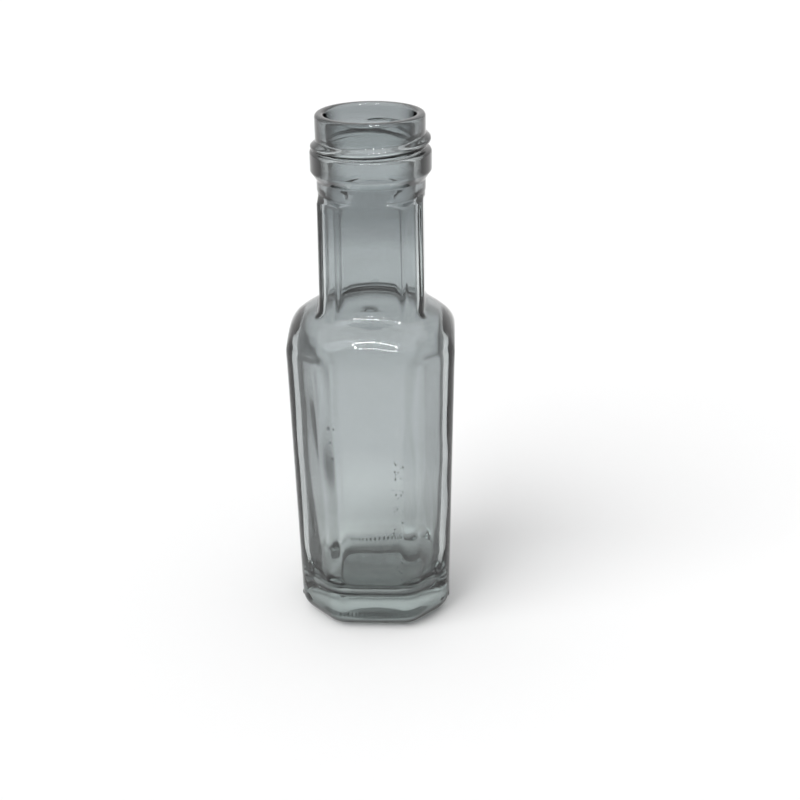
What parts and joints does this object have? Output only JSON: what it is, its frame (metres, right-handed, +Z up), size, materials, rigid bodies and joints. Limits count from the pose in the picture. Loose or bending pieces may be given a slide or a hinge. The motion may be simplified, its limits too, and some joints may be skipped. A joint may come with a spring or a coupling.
{
  "type": "glass bottle",
  "caption": "Small empty clear glass bottle: square body with chamfered corners, low domed shoulder, eight-sided neck and a round screw finish, open at the mouth.",
  "frame": {"origin": "middle of the base, on the surface that the bottle stands on", "axes": "+Z up along the bottle's axis to the mouth, -Y towards the front face, +X to the right of it"},
  "size_m": [0.0402, 0.0402, 0.1282],
  "materials": {
    "glass": "glossy, clear with a faint grey-green tint"
  },
  "bodies": {
    "root": {"bottle": "glass"}
  },
  "joints": []
}
